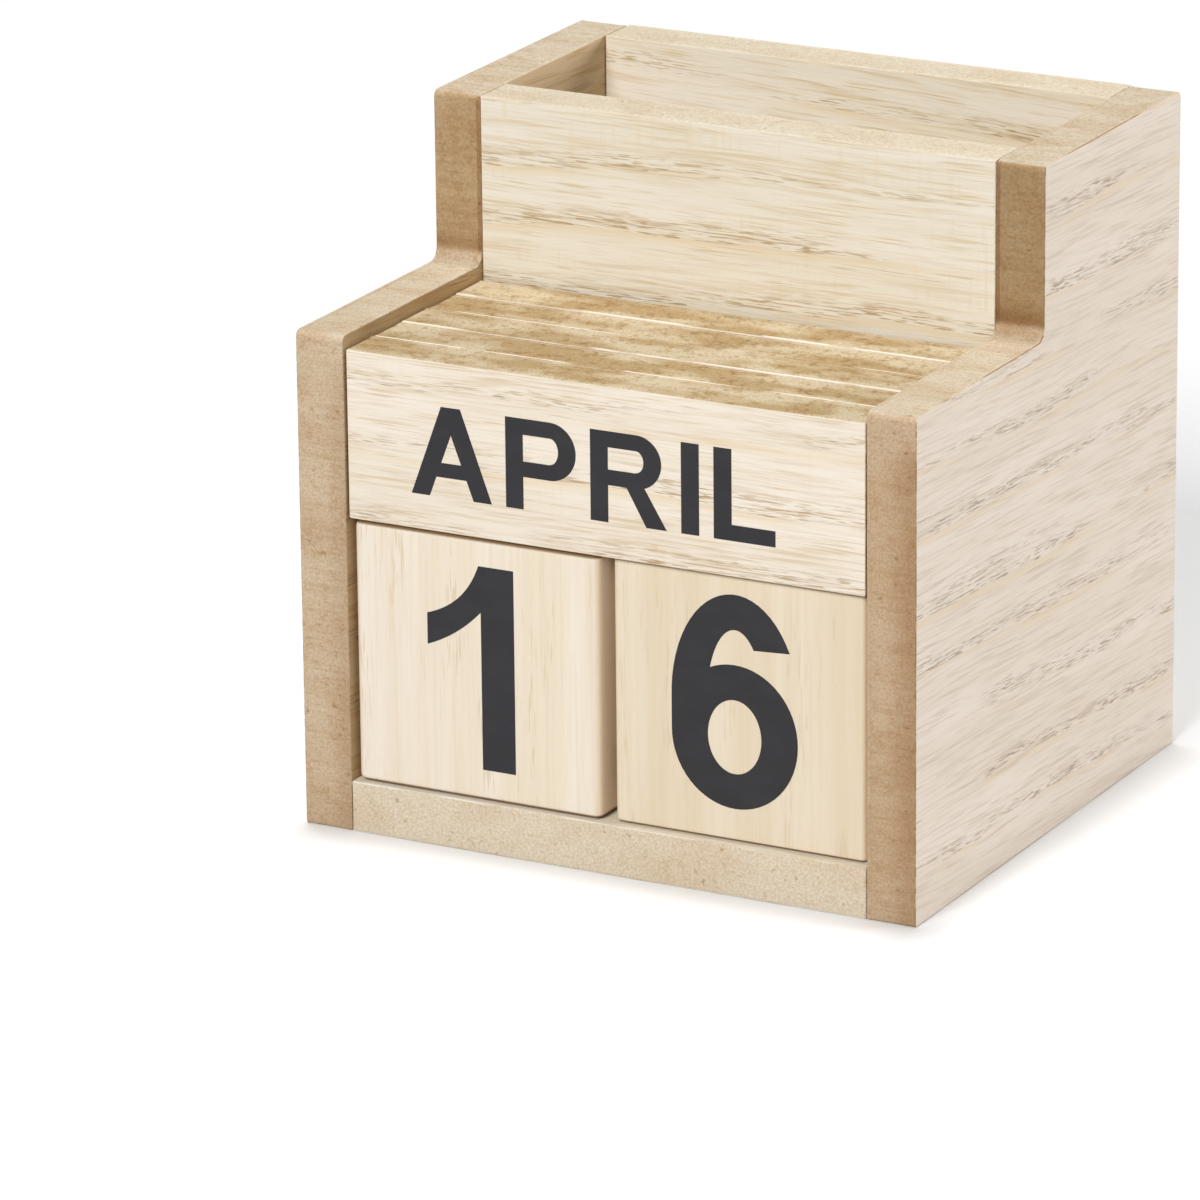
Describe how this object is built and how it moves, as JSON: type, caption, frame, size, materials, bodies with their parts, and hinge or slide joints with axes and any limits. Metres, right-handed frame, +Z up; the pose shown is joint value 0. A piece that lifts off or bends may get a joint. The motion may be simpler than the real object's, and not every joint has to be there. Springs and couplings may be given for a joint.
{
  "type": "perpetual desk calendar with pen pocket",
  "caption": "Stepped wooden desk calendar: date cubes in a low bay under a row of month tiles, with an open pen pocket behind.",
  "frame": {"origin": "middle of the carcass's footprint, at the height of the table that it stands on", "axes": "+X to the right, -Y to the front where the date cubes show, +Z up"},
  "size_m": [0.077, 0.069, 0.0785],
  "materials": {
    "face_veneer": "pale streaky wood veneer, fine sanded, unlacquered",
    "fibreboard_core": "sawn and sanded fibreboard edge, matte",
    "solid_cube_wood": "solid pale wood, sanded, straight fine grain"
  },
  "bodies": {
    "carcass": {"left_side_core": "fibreboard_core", "left_side_outer_veneer": "face_veneer", "left_side_inner_veneer": "face_veneer", "right_side_core": "fibreboard_core", "right_side_outer_veneer": "face_veneer", "right_side_inner_veneer": "face_veneer", "base_core": "fibreboard_core", "base_top_veneer": "face_veneer", "base_bottom_veneer": "face_veneer", "divider_front_veneer": "face_veneer", "divider_core": "fibreboard_core", "divider_back_veneer": "face_veneer", "back_front_veneer": "face_veneer", "back_core": "fibreboard_core", "back_back_veneer": "face_veneer"},
    "left_cube": {"left_cube": "solid_cube_wood"},
    "right_cube": {"right_cube": "solid_cube_wood"},
    "month_tile_1": {"month_tile_1_front_veneer": "face_veneer", "month_tile_1_core": "fibreboard_core", "month_tile_1_back_veneer": "face_veneer"},
    "month_tile_2": {"month_tile_2_front_veneer": "face_veneer", "month_tile_2_core": "fibreboard_core", "month_tile_2_back_veneer": "face_veneer"},
    "month_tile_3": {"month_tile_3_front_veneer": "face_veneer", "month_tile_3_core": "fibreboard_core", "month_tile_3_back_veneer": "face_veneer"},
    "month_tile_4": {"month_tile_4_front_veneer": "face_veneer", "month_tile_4_core": "fibreboard_core", "month_tile_4_back_veneer": "face_veneer"},
    "month_tile_5": {"month_tile_5_front_veneer": "face_veneer", "month_tile_5_core": "fibreboard_core", "month_tile_5_back_veneer": "face_veneer"}
  },
  "joints": [
    {"name": "left_cube_pull", "type": "slide", "parent": "carcass", "child": "left_cube", "axis": [0, -1, 0], "range_m": [0, 0.045]},
    {"name": "right_cube_pull", "type": "slide", "parent": "carcass", "child": "right_cube", "axis": [0, -1, 0], "range_m": [0, 0.045]},
    {"name": "month_tile_1_lift", "type": "slide", "parent": "carcass", "child": "month_tile_1", "axis": [0, 0, 1], "range_m": [0, 0.045]},
    {"name": "month_tile_2_lift", "type": "slide", "parent": "carcass", "child": "month_tile_2", "axis": [0, 0, 1], "range_m": [0, 0.045]},
    {"name": "month_tile_3_lift", "type": "slide", "parent": "carcass", "child": "month_tile_3", "axis": [0, 0, 1], "range_m": [0, 0.045]},
    {"name": "month_tile_4_lift", "type": "slide", "parent": "carcass", "child": "month_tile_4", "axis": [0, 0, 1], "range_m": [0, 0.045]},
    {"name": "month_tile_5_lift", "type": "slide", "parent": "carcass", "child": "month_tile_5", "axis": [0, 0, 1], "range_m": [0, 0.045]}
  ]
}
